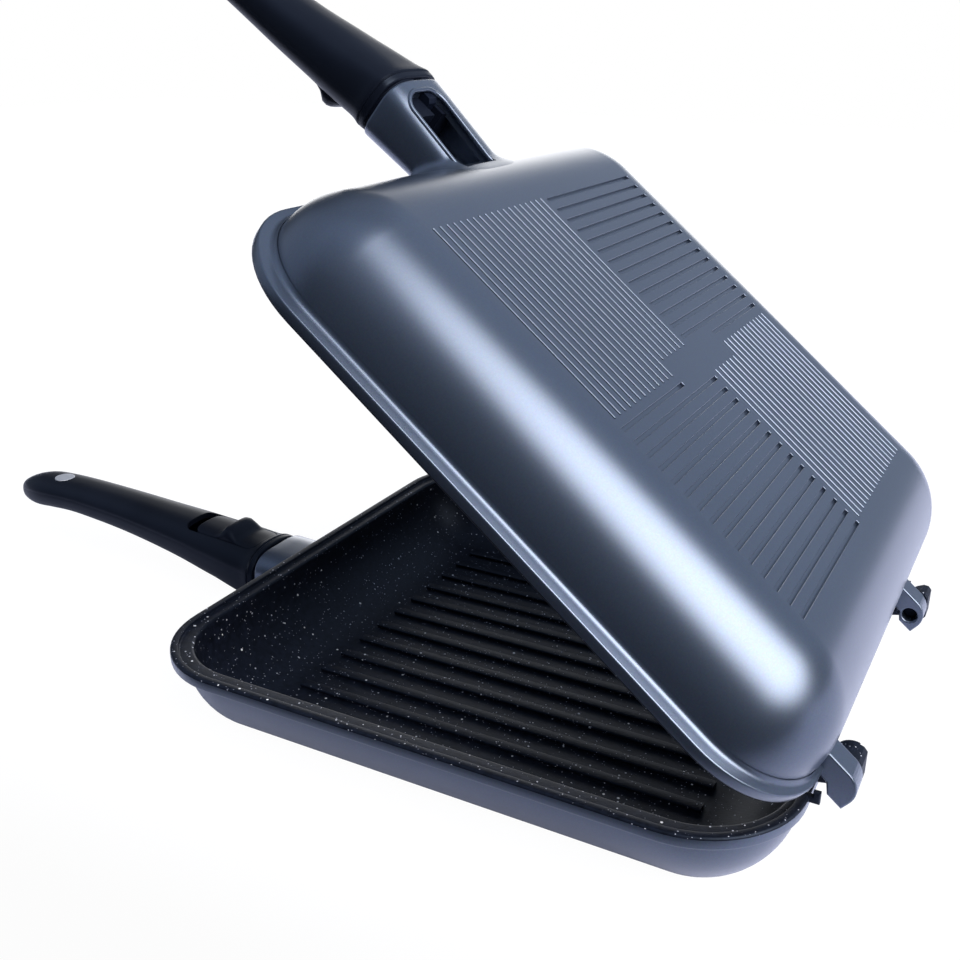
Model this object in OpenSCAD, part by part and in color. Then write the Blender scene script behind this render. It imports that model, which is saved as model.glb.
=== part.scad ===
/* [Pan halves] */
// Length of the lower rim, from the handle side to the hinge side
pan_x = 243; // [232:1:262]
// Width of the lower rim, from the near side to the far side
pan_y = 240.4; // [230:0.4:260]
// Overhang of the upper rim past the lower one, all round
lid_over = 0.5; // [0.3:0.1:1]
// Depth of one half, from its base to the plane where the two rims meet
half_depth = 35.6; // [34.5:0.1:42]
// Gap left between the two rims when the pan is shut
rim_gap = 0.3; // [0.2:0.1:0.6]
// Corner radius of the rims, seen from above
corner_r = 37; // [35:1:42]
// Height of the rim's outer band
band_h = 4.5; // [3:0.5:6]
// Width of the ledge between the lower rim's band and the wall, at the near and far sides
ledge_w = 5.4; // [4.8:0.2:6]
// Distance of the bowl's centre from the rim's centre, towards the hinge
bowl_shift = 0.9; // [0:0.1:1.2]
// Corner radius of the bowl's wall, seen from above
bowl_r = 33.4; // [33:0.2:36]
// Slope of the wall
draft = 4; // [2:1:6]
// Radius of the turn from the wall to the base
turn_r = 32.6; // [26:0.2:32.8]
// Radius of the fillet where the wall meets the ledge
ledge_fillet = 2; // [1:0.2:2.4]
// Thickness of the cast base
base_t = 4; // [3.4:0.2:5]
// Thickness of the cast wall below the rim
wall_t = 4; // [3.2:0.2:4.6]
// Width of the flat land on top of the rim
land_w = 3.2; // [2.6:0.2:3.6]
// Depth of the step inside the rim's land
step_h = 1.4; // [0.8:0.2:2]

/* [Grill ridges] */
// Number of ridges on the floor of a half
ridge_n = 12; // [8:1:14]
// Distance from one ridge to the next
ridge_pitch = 14.25; // [12:0.25:15]
// Length of a ridge
ridge_len = 168; // [140:2:170]
// Height of a ridge above the floor
ridge_h = 3; // [1.5:0.5:4]
// Width of a ridge at its foot
ridge_w = 4.2; // [3:0.2:6]

/* [Base pattern] */
// Side of the square field of grooves
field = 162; // [140:2:164]
// Number of fine grooves in a quarter of the field
fine_n = 19; // [12:1:22]
// Width of a fine groove
fine_w = 1.4; // [0.8:0.2:2]
// Number of broad grooves in a quarter of the field
broad_n = 15; // [10:1:17]
// Width of a broad groove
broad_w = 2.6; // [1.6:0.2:3.2]
// Depth of the grooves
groove_d = 0.7; // [0.4:0.1:1]
// Length of the bare panel in the middle of the field
panel_len = 44; // [30:2:60]
// Width of the bare panel in the middle of the field
panel_w = 11; // [6:1:16]

/* [Hinge] */
// Distance of the hinge axis outside the rim
axis_out = 8; // [7.8:0.1:9]
// Height of the hinge axis above the plane where the rims meet
axis_up = 3.6; // [3:0.1:4]
// Width of a hinge hook and of a hinge lug, along the axis
hook_w = 9.8; // [8:0.2:12]
// Place of the near hook's outer face
near_hook_y = -80; // [-90:1:-70]
// Place of the far hook's outer face
far_hook_y = 46.6; // [40:0.2:60]
// Radius of a hinge pin
pin_r = 2.75; // [2:0.05:3]
// Running clearance round a hinge pin
pin_clear = 0.05; // [0.02:0.01:0.08]
// Depth of the near hook's blind bore
blind_depth = 8; // [6:0.2:8]
// Angle at which the lid stands open
lid_open = 39.16; // [0:0.02:90]

/* [Handle socket] */
// Slope of the cast socket and of its hollow
socket_tilt = 11.5; // [9:0.5:12]
// Length of the cast socket outside the rim
socket_len = 23; // [18:1:28]
// Width of the socket
socket_w = 38; // [36:0.5:40]
// Height of the socket
socket_h = 26.4; // [26:0.2:27.4]
// Width of the hollow in the socket
hollow_w = 25; // [23:0.5:27]
// Height of the hollow in the socket
hollow_h = 19; // [18:0.2:19.6]
// Length of the window in the socket's outer side
window_len = 34; // [26:1:34]
// Width of the window in the socket's outer side
window_w = 22; // [14:1:22]

/* [Handle] */
// Length of the handle's plastic grip
grip_len = 164; // [150:1:180]
// Wall of the handle's plastic shells
shell_t = 2.6; // [2.2:0.1:3]
// Gap between the grip and the socket, where the dark ring shows
ring_gap = 1.2; // [0.8:0.1:2]
// Clearance between pieces that slide or lie in each other
fit_gap = 0.3; // [0.2:0.05:0.4]
// Radius of the magnet in the handle's end
magnet_r = 5; // [4:0.25:5.5]
// Thickness of the magnet
magnet_t = 3; // [2:0.25:3.5]

/* [Release slider] */
// Length of the slider's plate
slider_len = 35; // [33:1:36]
// Width of the slider's plate
slider_w = 21; // [18:0.5:22]
// Travel of the slider towards the handle's end
slider_travel = 4; // [3.6:0.1:4]
// Height of the thumb ridge on the slider
thumb_h = 3.4; // [2.6:0.2:4]

/* [Latch] */
// Height of the slider's notch above the latch lever's pivot
lever_up = 12; // [11.5:0.1:12.2]
// Distance of the latch tooth from the lever's pivot
lever_reach = 17.5; // [16.5:0.5:18]
// Width of the latch lever
lever_w = 5; // [4:0.5:6]
// Radius of the latch lever's pin
lever_pin_r = 1.5; // [1.2:0.1:1.8]
// Radius of the wire of the slider's spring
wire_r = 0.35; // [0.3:0.05:0.45]
// Outer radius of the slider's spring
coil_r = 2.4; // [2:0.1:2.6]
// Number of turns of the slider's spring
coil_turns = 8; // [5:1:10]

/* [Hidden] */
$fn = 64;

// Colours
paint = [0.35, 0.39, 0.47];
plastic = [0.15, 0.16, 0.19];
steel = [0.72, 0.72, 0.76];
slack = 1;              // overlap that lets a cut run past a face
through = 60;           // height of a cut or post that runs right through the handle
half_x = pan_x / 2;
half_y = pan_y / 2;
ledge_x = ledge_w - 2.2;            // mean ledge at the handle and hinge sides
rim_z = half_depth - rim_gap / 2;   // top of the lower half's rim
axis_x = half_x + axis_out;
axis_z = half_depth + axis_up;

// ---------- plan and section of a half ----------

// Rectangle with round corners, centred
module round_rect(x, y, r) {
  square([x - 2 * r, y], center = true);
  square([x, y - 2 * r], center = true);
  for (sx = [-1, 1], sy = [-1, 1]) translate([sx * (x / 2 - r), sy * (y / 2 - r)]) circle(r);
}

// Plate that follows a rim's plan, drawn in by inset
module plan_plate(over, inset, low, high) {
  out = over - inset;
  translate([0, 0, low]) linear_extrude(high - low)
    round_rect(pan_x + 2 * out, pan_y + 2 * out, corner_r + out);
}

ledge_z = rim_z - band_h;           // height of the ledge under the lower rim
bowl_x = pan_x - 2 * ledge_x;
bowl_y = pan_y - 2 * ledge_w;

// Sweeps a section round the bowl's plan; its x runs outwards from the corners' centres
module round_bowl() translate([bowl_shift, 0, 0]) {
  run_x = bowl_x - 2 * bowl_r;
  run_y = bowl_y - 2 * bowl_r;
  for (sx = [-1, 1], sy = [-1, 1])
    translate([sx * run_x / 2, sy * run_y / 2, 0]) rotate_extrude() children();
  for (side = [0, 180]) {
    rotate([0, 0, side]) translate([run_x / 2, run_y / 2, 0]) rotate([90, 0, 0])
      linear_extrude(run_y) children();
    rotate([0, 0, side + 90]) translate([run_y / 2, run_x / 2, 0]) rotate([90, 0, 0])
      linear_extrude(run_x) children();
  }
}

// Section of the bowl: flat floor, round turn, sloping wall that passes reach at the ledge
module bowl_section(reach, turn, low, high) intersection() {
  turn_z = low + turn * (1 - sin(draft));
  turn_x = reach - (ledge_z - turn_z) * tan(draft);
  mid_x = turn_x - turn * cos(draft);
  union() {
    translate([0, low]) square([mid_x, high - low]);
    translate([mid_x, low + turn]) circle(turn);
    polygon([[0, turn_z], [turn_x, turn_z], [reach + (high - ledge_z) * tan(draft), high], [0, high]]);
  }
  translate([0, low]) square([2 * reach, high - low]);
}

// Solid bowl drawn in by inset, with its floor at low and its open face at high
outer_turn = min(turn_r, (ledge_z - 0.4) / (1 - sin(draft)));
module bowl(inset, low, high) {
  round_bowl() bowl_section(bowl_r - inset / cos(draft), outer_turn - inset, low, high);
  translate([bowl_shift, 0, (low + high) / 2])
    cube([bowl_x - 2 * bowl_r, bowl_y - 2 * bowl_r, high - low], center = true);
}

// Fillet between the wall and the ledge
module wall_fillet() round_bowl() difference() {
  translate([bowl_r - 1, ledge_z - ledge_fillet]) square([1 + ledge_fillet, ledge_fillet + 0.5]);
  translate([bowl_r + ledge_fillet, ledge_z - ledge_fillet]) circle(ledge_fillet);
}

// One ridge of the grill, lying along X with its foot on the floor
module ridge() {
  top_w = ridge_w * 0.6;
  translate([-ridge_len / 2, 0, base_t - slack / 2]) rotate([90, 0, 90]) linear_extrude(ridge_len)
    polygon([[-ridge_w / 2, 0], [ridge_w / 2, 0], [ridge_w / 2, slack / 2],
      [top_w / 2, ridge_h + slack / 2], [-top_w / 2, ridge_h + slack / 2], [-ridge_w / 2, slack / 2]]);
}

// Grooves of the base: fine ones along X in two quarters, broad ones along Y in the others
quarter = field / 2;
quarter_gap = 1.4;      // bare strip on each side of the field's two middle lines
bare_x = panel_w / 2 + 2.6;
bare_y = panel_len / 2 + 4;
module fine_grooves() {
  pitch = quarter / fine_n;
  for (i = [0:fine_n - 1]) {
    y = (i + 0.6) * pitch;
    start = y < bare_y ? bare_x : quarter_gap;
    translate([start, -y - fine_w / 2, -slack]) cube([quarter - start, fine_w, slack + groove_d]);
  }
}
module broad_grooves() {
  pitch = quarter / broad_n;
  for (i = [0:broad_n - 1]) {
    x = (i + 0.6) * pitch;
    start = x < bare_x ? bare_y : quarter_gap;
    translate([x - broad_w / 2, start, -slack]) cube([broad_w, quarter - start, slack + groove_d]);
  }
}
module base_pattern() {
  translate([bowl_shift, 0, 0]) {
    for (side = [0, 180]) rotate([0, 0, side]) {
      fine_grooves();
      broad_grooves();
    }
    translate([-panel_w / 2, -panel_len / 2, -slack]) cube([panel_w, panel_len, slack + groove_d / 2]);
  }
}

// ---------- the cast socket for the handle ----------

socket_low = 1.8;
socket_z = socket_low + socket_h / 2;   // height of the middle of the socket's end face
collar_x = -(half_x + socket_len);  // end face of the socket
socket_round = 12;

module across_x(from, to) {
  translate([from, 0, socket_z]) rotate([90, 0, 90]) linear_extrude(to - from) children();
}
// Prism along the socket's slope, from a distance before its end face to one behind it
module along_socket(from, to) {
  translate([collar_x, 0, socket_z]) rotate([0, -socket_tilt, 0]) translate([from, 0, 0])
    rotate([90, 0, 90]) linear_extrude(to - from) children();
}
module socket_outside() intersection() {
  along_socket(-20, socket_len + outer_turn) round_rect(socket_w, socket_h, socket_round);
  translate([collar_x, -half_y, 0]) cube([half_x, pan_y, rim_z - 1.2]);
}
hollow_z = 6.2 + hollow_h / 2;      // height of the middle of the hollow that takes the tang
module socket_hollow() {
  translate([collar_x - slack, 0, hollow_z]) rotate([90, 0, 90]) linear_extrude(nose_len + 1.4 + slack)
    round_rect(hollow_w, hollow_h, 3);
  along_socket(nose_len - 3, socket_len + outer_turn / 2) round_rect(hollow_w, socket_h - 7, 3);
  // window in the socket's outer side, wider towards the pan
  translate([collar_x + 4, 0, -slack]) linear_extrude(socket_z + slack) intersection() {
    translate([window_len / 2, 0]) round_rect(window_len, window_w + 3, 5);
    polygon([[-slack, -window_w / 2], [window_len + slack, -window_w / 2 - 1.5],
      [window_len + slack, window_w / 2 + 1.5], [-slack, window_w / 2]]);
  }
}

// One half with its rim up and its base on z = 0, without its hinge
module half_casting(over) {
  difference() {
    union() {
      plan_plate(over, 0, ledge_z, rim_z);
      bowl(0, 0, rim_z);
      wall_fillet();
      socket_outside();
    }
    difference() {
      socket_hollow();
      // the hollow and its window stop in the bowl's wall
      bowl(wall_t / 3, wall_t / 3, rim_z + slack);
    }
    bowl(wall_t, base_t, rim_z + slack);
    plan_plate(over, land_w + over, rim_z - step_h, rim_z + slack);
    base_pattern();
  }
  for (i = [0:ridge_n - 1])
    translate([0, (i - (ridge_n - 1) / 2) * ridge_pitch, 0]) ridge();
}

// ---------- hinge ----------

// Puts a half or a handle, drawn for the lower half, in its place on the shut lid
module flip() translate([0, 0, 2 * half_depth]) rotate([180, 0, 0]) children();
// Swings the shut lid open about the hinge axis
module open_lid() translate([axis_x, 0, axis_z]) rotate([0, lid_open, 0])
  translate([-axis_x, 0, -axis_z]) children();

// Prism across the hinge: an outline in x and z about the hinge axis, from y to y + w
module hinge_prism(y, w) translate([axis_x, y + w, axis_z]) rotate([90, 0, 0]) linear_extrude(w) children();

hook_out = 5.4;         // the hook's reach outside the axis
hook_top = 6.2;         // height of the hook's top over the axis
hook_low = 4.8;         // depth of the hook's lower edge under the axis
nose_r = 4.6;
hook_in = axis_out + ledge_x + 1;   // the roots of hooks and lugs lie in the wall
module hook_outline() {
  difference() {
    translate([-hook_in, -hook_low]) square([hook_in + hook_out, hook_low + hook_top]);
    // under the arm, the outline steps back from the lower rim
    polygon([[-hook_in - slack, -axis_up + rim_gap + 1.4], [-3.9, -axis_up + rim_gap + 1.4],
      [-0.6, -hook_low - 0.1], [-0.6, -hook_low - slack], [-hook_in - slack, -hook_low - slack]]);
    difference() {
      translate([hook_out - nose_r, hook_top - nose_r]) square(nose_r + slack);
      translate([hook_out - nose_r, hook_top - nose_r]) circle(nose_r);
    }
  }
}
near_lug_y = near_hook_y + hook_w + fit_gap;
far_lug_y = far_hook_y + hook_w + fit_gap;
lug_w = hook_w - 0.4;
pin_recess = 4;         // the far pin's end lies back in its through bore
rim_top = -axis_up - rim_gap / 2;       // the lower rim's top, seen from the hinge axis
lug_in = -axis_out + lid_over + 0.5;    // what stands above the lower rim stays clear of the upper one
module lug_root() translate([-hook_in, rim_top - band_h]) square([hook_in + 2, band_h]);
module near_lug_outline() {
  circle(6.1);
  lug_root();
  translate([-0.5, -5]) square([hook_out + 0.5, 9.8]);
  polygon([[-hook_in, rim_top], [lug_in, rim_top], [lug_in, rim_top + 1.3], [-3.9, 4.4], [2, 0],
    [0, -5.6], [-hook_in, -6]]);
}
module far_lug_outline() {
  circle(4.6);
  lug_root();
  polygon([[-1.5, -5.4], [hook_out, -5.4], [hook_out, 4.4], [4.2, 5.6], [2, 5.6], [-0.4, 3.4],
    [-4.6, -1.2], [lug_in, rim_top + 0.8], [lug_in, rim_top]]);
}
ear_w = 5.4;
ear_in = lid_over + 0.9;          // the upright part stands clear of the upper rim
ear_out = ear_in + 2.4;
ear_up = 2.4;
// Small ear on the lower rim, upright beside the upper one
module ear(y) {
  translate([half_x - 2, y, ledge_z + 0.6]) cube([ear_out + 2, ear_w, band_h - 0.6]);
  translate([half_x + ear_in, y, rim_z - slack]) cube([ear_out - ear_in, ear_w, ear_up + slack]);
}

module lower_pan() color(paint) {
  difference() {
    union() {
      half_casting(0);
      hinge_prism(near_lug_y, lug_w) near_lug_outline();
      hinge_prism(far_lug_y, lug_w) far_lug_outline();
      ear(near_hook_y - ear_w - fit_gap);
      ear(-near_hook_y + fit_gap);
    }
    for (y = [near_lug_y, far_lug_y]) hinge_prism(y - slack, lug_w + 2 * slack) circle(pin_r);
  }
}

module upper_pan() color(paint) open_lid() {
  difference() {
    union() {
      flip() half_casting(lid_over);
      hinge_prism(near_hook_y, hook_w) hook_outline();
      hinge_prism(far_hook_y, hook_w) hook_outline();
    }
    hinge_prism(near_hook_y + hook_w - blind_depth, blind_depth + slack) circle(pin_r + pin_clear);
    hinge_prism(far_hook_y - slack, hook_w + 2 * slack) circle(pin_r + pin_clear);
  }
}

module hinge_pin_near() color(steel)
  hinge_prism(near_hook_y + hook_w - blind_depth + fit_gap, blind_depth + lug_w) circle(pin_r);
module hinge_pin_far() color(steel)
  hinge_prism(far_hook_y + pin_recess, hook_w + lug_w - pin_recess) circle(pin_r);

// ---------- handle: every module draws the lower half's handle ----------

grip_start = collar_x - ring_gap;   // open end of the grip
// Stations along the grip: distance from its open end, middle height, half height, half width
stations = [
  [0, 15.2, 13.4, 19.2], [4, 15.2, 13.8, 19.6], [7, 15.4, 13.1, 18.9], [20, 17.3, 12.5, 17.8],
  [34, 19.3, 11.5, 16.6], [50, 21.7, 10.3, 15.3], [68, 23.8, 9.2, 14.1], [88, 25.8, 8.4, 13.1],
  [108, 27.2, 7.8, 12.6], [124, 27.9, 7.5, 12.4], [138, 27.6, 7.6, 12.6], [148, 27.0, 7.8, 11.8],
  [156, 26.4, 6.6, 9.4], [161, 26.0, 4.6, 6.4], [164, 25.8, 1.4, 2.0]
];
nominal_len = stations[len(stations) - 1][0];   // grip length that the stations are written for
squareness = 2.5;       // exponent of the grip's rounded section
sides = 28;
function powered(v, e) = sign(v) * pow(abs(v), e);
// Ring of the grip's section at a station, drawn in by t
function ring(s, t) = [for (i = [0:sides - 1]) let (a = 360 * (i + 0.5) / sides)
  [grip_start - s[0] * grip_len / nominal_len,
    max(s[3] - t, 0.4) * powered(cos(a), 2 / squareness),
    s[1] + max(s[2] - t, 0.4) * powered(sin(a), 2 / squareness)]];
// Closed solid through a list of rings
module loft(rings) {
  n = len(rings);
  points = [for (r = rings) each r];
  walls = [for (k = [0:n - 2], i = [0:sides - 1]) let (j = (i + 1) % sides)
    each [[k * sides + i, k * sides + j, (k + 1) * sides + i],
      [k * sides + j, (k + 1) * sides + j, (k + 1) * sides + i]]];
  first_cap = [for (i = [1:sides - 2]) [0, i + 1, i]];
  last_cap = [for (i = [1:sides - 2]) [(n - 1) * sides, (n - 1) * sides + i, (n - 1) * sides + i + 1]];
  polyhedron(points = points, faces = concat(walls, first_cap, last_cap));
}
module grip_solid(t) {
  last = len(stations) - (t > 0 ? 3 : 1);
  ends = t > 0 ? [[-2, stations[0][1], stations[0][2], stations[0][3]]] : [];
  loft([for (s = concat(ends, [for (i = [0:last]) stations[i]])) ring(s, t)]);
}
// Everything above the seam between the two shells, between two places across the grip
seam_share = 0.22;      // height of the seam over the middle, as a share of the half height
module above_seam(lift) {
  outline = concat(
    [for (s = stations) [grip_start - s[0] * grip_len / nominal_len, s[1] + seam_share * s[2] + lift]],
    [[grip_start - grip_len - slack, stations[len(stations) - 1][1] + lift],
      [grip_start - grip_len - slack, through], [grip_start + slack, through],
      [grip_start + slack, stations[0][1] + seam_share * stations[0][2] + lift]]);
  translate([0, half_y, 0]) rotate([90, 0, 0]) linear_extrude(pan_y) polygon(outline);
}
seam_gap = 0.1;

slot_back = 6.7;
slot_x = collar_x - slot_back;      // end of the slider's slot nearest the pan
slot_spare = 2.3;
slot_len = slider_len + slider_travel + slot_spare;
slot_w = slider_w + 2 * fit_gap;
slot_mid = slot_x - slot_len / 2;
slider_mid = slot_x - fit_gap - slider_len / 2;
magnet_share = 0.828;   // place of the magnet along the grip
magnet_x = grip_start - magnet_share * grip_len;
magnet_top = rim_z - 0.1;
boss_r = magnet_r + 2;
screw_share = 0.6756;   // place of the shell screw along the grip
screw_x = grip_start - screw_share * grip_len;
screw_r = 1.5;
screw_head_r = 2.8;

module at_x(x, z) translate([x, 0, z]) children();

module handle_cover() color(plastic) {
  difference() {
    intersection() {
      union() {
        difference() {
          grip_solid(0);
          grip_solid(shell_t);
        }
        // seat of the magnet and boss of the shell screw
        intersection() {
          union() {
            at_x(magnet_x, magnet_top - magnet_t - 1.6) cylinder(r = boss_r, h = 12);
            at_x(screw_x, 0) cylinder(r = post_r, h = through);
          }
          grip_solid(1);
        }
      }
      above_seam(0);
    }
    translate([slot_mid, 0, socket_z]) linear_extrude(through) round_rect(slot_len, slot_w, 4);
    at_x(magnet_x, magnet_top - magnet_t) cylinder(r = magnet_r, h = 12);
    at_x(screw_x, 0) cylinder(r = screw_r, h = screw_seat + screw_len);
  }
}

module handle_base() color(plastic) {
  difference() {
    union() {
      difference() {
        grip_solid(0);
        grip_solid(shell_t);
      }
      // post of the shell screw and bed of the tang
      intersection() {
        union() {
          at_x(screw_x, 0) cylinder(r = post_r, h = through);
          translate([bed_x, -bed_w / 2, 0]) cube([bed_len, bed_w, tang_low]);
        }
        grip_solid(1);
      }
    }
    above_seam(-seam_gap);
    at_x(screw_x, -slack) cylinder(r = screw_r, h = through);
    at_x(screw_x, -slack) cylinder(r = screw_head_r + 0.1, h = screw_seat + slack);
    for (y = tang_screw_y)
      translate([tang_screw_x, y, tang_low - screw_bite - 0.3]) cylinder(r = screw_r, h = 12);
  }
}

// Tang: nose that fills the socket, flange behind the ring and bar that lies in the grip
nose_len = 14;
nose_w = hollow_w - 2 * fit_gap;
nose_h = hollow_h - 2 * fit_gap;
bar_w = 18;
tang_low = 10.8;
tang_high = 21.4;
bar_len = 36;
bar_end = collar_x - bar_len;
tip_len = 5.5;          // length of the bar's thinner end
bed_x = bar_end + 1.5;
bed_len = 12;
bed_w = 20;
tang_screw_x = bar_end + 8;
tang_screw_y = [-6, 6];
screw_bite = 3;         // length of a tang screw's thread in the grip's base
slit_w = lever_w + 2 * fit_gap;
post_r = 4.2;
screw_seat = 21.8;
screw_len = 9;

pivot_back = 11;
pivot_x = collar_x - pivot_back;
pivot_z = 12.4;
notch_z = pivot_z + lever_up;
module handle_tang() color(plastic) {
  difference() {
    union() {
      translate([collar_x - slack, 0, hollow_z]) rotate([90, 0, 90]) linear_extrude(nose_len + slack)
        round_rect(nose_w, nose_h, 2.6);
      across_x(collar_x - ring_gap + 0.1, collar_x - 0.1)
        round_rect(socket_w - 1.6, socket_h - 1.6, socket_round - 0.8);
      translate([bar_end, -bar_w / 2, tang_low]) cube([collar_x - bar_end, bar_w, tang_high - tang_low]);
      // stop of the slider's spring
      translate([bar_end, -stop_w / 2, tang_high - slack]) cube([stop_t, stop_w, slack + 2 * coil_r + 0.4]);
    }
    // the bar's end is thinner, where the grip's floor rises
    translate([bar_end - slack, -bar_w, 0]) cube([tip_len + slack, 2 * bar_w, tang_low + 1.3]);
    // slit in which the latch lever swings
    translate([pivot_x - 7, -slit_w / 2, -slack]) cube([nose_len + 18 + slack, slit_w, 40]);
    at_x(pivot_x, pivot_z) rotate([90, 0, 0]) cylinder(r = lever_pin_r, h = through, center = true);
    for (y = tang_screw_y) translate([tang_screw_x, y, tang_low - slack]) cylinder(r = screw_r, h = 40);
  }
}

module handle_tang_screws() color(steel)
  for (y = tang_screw_y) {
    translate([tang_screw_x, y, tang_low - screw_bite])
      cylinder(r = screw_r, h = tang_high - tang_low + screw_bite);
    translate([tang_screw_x, y, tang_high]) cylinder(r = 2.4, h = 1.4);
  }

module handle_lever_pin() color(steel) at_x(pivot_x, pivot_z) rotate([90, 0, 0])
  cylinder(r = lever_pin_r, h = bar_w - 1, center = true);

tooth_low = 3.6;
tip_r = 1.6;            // round end of the upright arm
module lever_plate() translate([0, lever_w / 2, 0]) rotate([90, 0, 0]) linear_extrude(lever_w) children();
module handle_latch_lever() color(steel) at_x(pivot_x, pivot_z) difference() {
  union() {
    lever_plate() circle(3.4);
    // upright arm with a round end in the slider's notch
    lever_plate() translate([-1.5, 0]) square([3, lever_up]);
    lever_plate() translate([0, lever_up]) circle(tip_r);
    // arm that carries the tooth, reaching into the socket's window
    lever_plate() polygon([[-1, 2.2], [lever_reach + 3, -1.6], [lever_reach + 3, tooth_low - pivot_z + 1.5],
      [lever_reach + 1.8, tooth_low - pivot_z], [lever_reach - 1.9, tooth_low - pivot_z],
      [lever_reach - 1.9, -5.2], [-1, -2.6]]);
  }
  rotate([90, 0, 0]) cylinder(r = lever_pin_r + pin_clear, h = 3 * lever_w, center = true);
}

// Slider: plate that follows the grip's top, flange under the cover, thumb ridge, and a stem
// with the lever's notch
stem_x = pivot_x;
stem_back = 5;
stem_front = 3.6;
notch_half = tip_r + 0.15;
notch_foot = 4.2;
stem_w = lever_w + 4;
stem_low = tang_high + 0.5;
stem_top = 26.8;
flange_w = slider_w + 3;
ridge_top = 29.4 + thumb_h;
module handle_release_slider() color(plastic) {
  difference() {
    union() {
      intersection() {
        translate([slider_mid, 0, socket_z]) linear_extrude(40) round_rect(slider_len, slider_w, 3.6);
        difference() {
          grip_solid(0);
          grip_solid(shell_t + 1.9);
        }
        above_seam(0.5);
      }
      intersection() {
        translate([slider_mid, 0, socket_z]) linear_extrude(40)
          square([slider_len - 4, flange_w], center = true);
        difference() {
          grip_solid(shell_t + 0.4);
          grip_solid(shell_t + 1.9);
        }
        above_seam(0.5);
      }
      // thumb ridge: hollow ramp from the handle's end, steep hollow face towards the pan
      intersection() {
        translate([slider_mid, half_y, 0]) rotate([90, 0, 0]) linear_extrude(pan_y)
          polygon([[-10, 27], [-10, 29.4], [-4.5, 29.9], [-2, 30.8], [-0.6, ridge_top - 0.5],
            [0.2, ridge_top], [1.4, ridge_top], [2.4, ridge_top - 0.6], [4.4, 31], [7.5, 29.6],
            [12.5, 28.8], [12.5, 27]]);
        translate([slider_mid - slider_len / 2, 0, ridge_top - 10]) rotate([90, 0, 90])
          linear_extrude(slider_len) round_rect(slider_w - 1, 20, 4);
        translate([slider_mid, 0, socket_z]) linear_extrude(40) round_rect(slider_len, slider_w, 3.6);
      }
      translate([stem_x - stem_back, -stem_w / 2, stem_low])
        cube([stem_back + stem_front, stem_w, stem_top - stem_low]);
    }
    // notch for the lever's round end, wider below so that the lever can swing
    translate([stem_x - notch_half, -slit_w / 2, 0])
      cube([2 * notch_half, slit_w, notch_z + tip_r + fit_gap]);
    translate([stem_x - notch_half, -slit_w / 2, 0]) cube([notch_foot, slit_w, notch_z - 0.5]);
    // channel over the spring and its stop
    translate([spring_x - slider_len, -channel_w / 2, 0]) cube([slider_len, channel_w, channel_z]);
  }
}

// Spring between the tang's stop and the slider's stem, lying along X
stop_w = 6;
stop_t = 2.4;
channel_w = stop_w + 2 * fit_gap;
channel_z = tang_high + 2 * coil_r + 0.7;
spring_x = stem_x - stem_back;
spring_end = bar_end + stop_t;
spring_z = tang_high + 0.2 + coil_r;
wire_sides = 6;
steps = 12;
function coil_point(k) = let (a = 360 * k / steps, span = spring_x - spring_end - 2 * wire_r)
  [spring_end + wire_r + span * k / (coil_turns * steps),
    (coil_r - wire_r) * cos(a), spring_z + (coil_r - wire_r) * sin(a)];
module handle_slider_spring() color(steel) {
  count = coil_turns * steps;
  points = [for (k = [0:count]) let (c = coil_point(k), a = 360 * k / steps)
    for (i = [0:wire_sides - 1]) let (b = 360 * i / wire_sides)
      [c[0] + wire_r * sin(b), c[1] + wire_r * cos(b) * cos(a), c[2] + wire_r * cos(b) * sin(a)]];
  walls = [for (k = [0:count - 1], i = [0:wire_sides - 1]) let (j = (i + 1) % wire_sides)
    each [[k * wire_sides + i, (k + 1) * wire_sides + i, k * wire_sides + j],
      [k * wire_sides + j, (k + 1) * wire_sides + i, (k + 1) * wire_sides + j]]];
  first_cap = [for (i = [1:wire_sides - 2]) [0, i, i + 1]];
  last_cap = [for (i = [1:wire_sides - 2])
    [count * wire_sides, count * wire_sides + i + 1, count * wire_sides + i]];
  polyhedron(points = points, faces = concat(walls, first_cap, last_cap));
}

module handle_magnet() color(steel)
  at_x(magnet_x, magnet_top - magnet_t) cylinder(r = magnet_r, h = magnet_t);

module handle_shell_screw() color(steel) {
  at_x(screw_x, screw_seat - slack) cylinder(r = screw_r, h = screw_len + slack);
  at_x(screw_x, screw_seat - 1.8) cylinder(r = screw_head_r, h = 1.8);
}

lower_pan();
upper_pan();
hinge_pin_near();
hinge_pin_far();
handle_base();  // lower_handle_base
handle_cover();  // lower_handle_cover
handle_tang();  // lower_tang
handle_tang_screws();  // lower_tang_screws
handle_release_slider();  // lower_release_slider
handle_slider_spring();  // lower_slider_spring
handle_latch_lever();  // lower_latch_lever
handle_lever_pin();  // lower_lever_pin
handle_magnet();  // lower_magnet
handle_shell_screw();  // lower_shell_screw
open_lid() flip() handle_base();  // upper_handle_base
open_lid() flip() handle_cover();  // upper_handle_cover
open_lid() flip() handle_tang();  // upper_tang
open_lid() flip() handle_tang_screws();  // upper_tang_screws
open_lid() flip() handle_release_slider();  // upper_release_slider
open_lid() flip() handle_slider_spring();  // upper_slider_spring
open_lid() flip() handle_latch_lever();  // upper_latch_lever
open_lid() flip() handle_lever_pin();  // upper_lever_pin
open_lid() flip() handle_magnet();  // upper_magnet
open_lid() flip() handle_shell_screw();  // upper_shell_screw
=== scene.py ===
import bpy
import bmesh
import math
from mathutils import Matrix, Vector


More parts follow.
